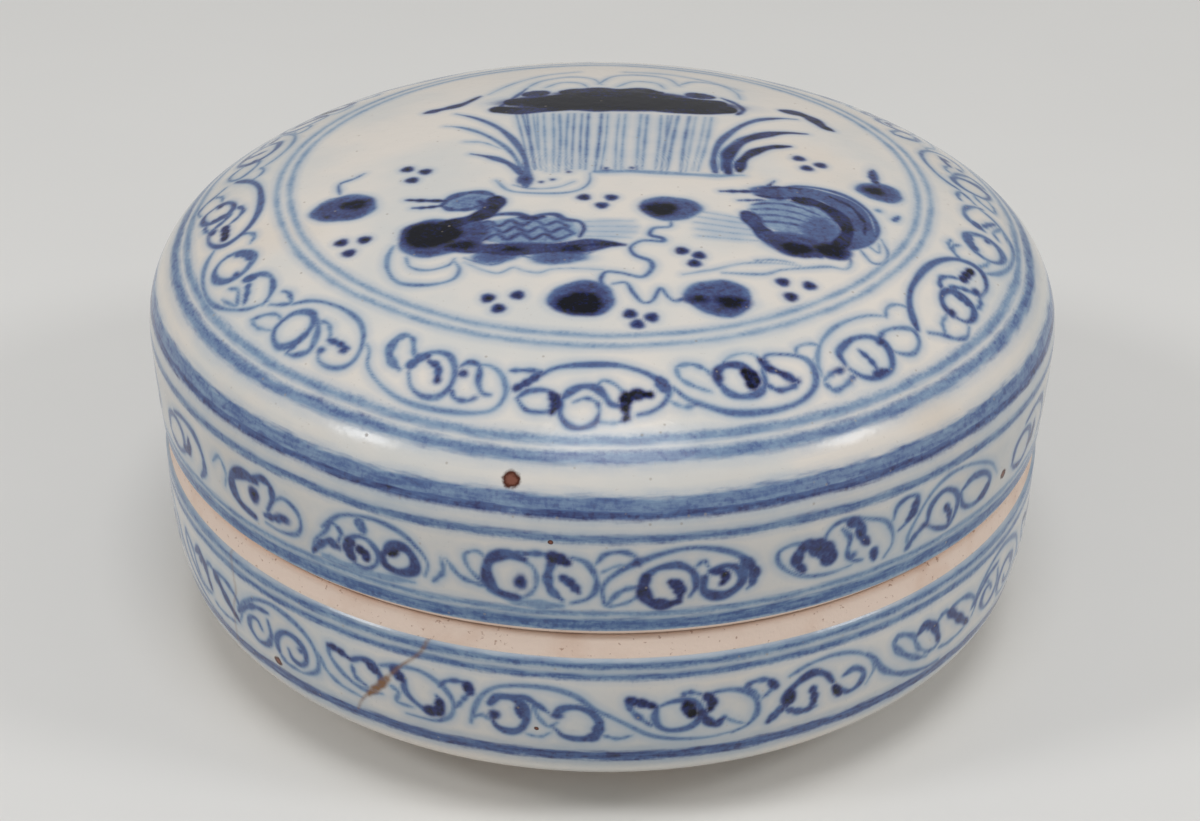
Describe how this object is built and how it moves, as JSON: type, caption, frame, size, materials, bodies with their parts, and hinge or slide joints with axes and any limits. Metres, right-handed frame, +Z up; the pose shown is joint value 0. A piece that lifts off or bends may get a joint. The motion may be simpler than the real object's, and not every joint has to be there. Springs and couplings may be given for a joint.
{
  "type": "seal paste box",
  "caption": "Low round covered porcelain box with a domed lid, a stepped gallery and a foot ring, which holds a mound of seal paste.",
  "frame": {"origin": "middle of the foot ring's standing face, on the turning axis", "axes": "+Z up along the turning axis; the pictured front faces -Y and +X is to its right"},
  "size_m": [0.1, 0.1, 0.0531],
  "materials": {
    "lid_porcelain": "glossy, blue painting under a clear glaze",
    "base_porcelain": "glossy, blue painting under a clear glaze, bare at the seat, lip and foot",
    "seal_paste": "oily red paste"
  },
  "bodies": {
    "base": {"base": "base_porcelain", "seal_paste": "seal_paste"},
    "lid": {"lid": "lid_porcelain"}
  },
  "joints": [
    {"name": "lid_lift", "type": "slide", "parent": "base", "child": "lid", "axis": [0, 0, 1], "range_m": [0, 0.06]}
  ]
}
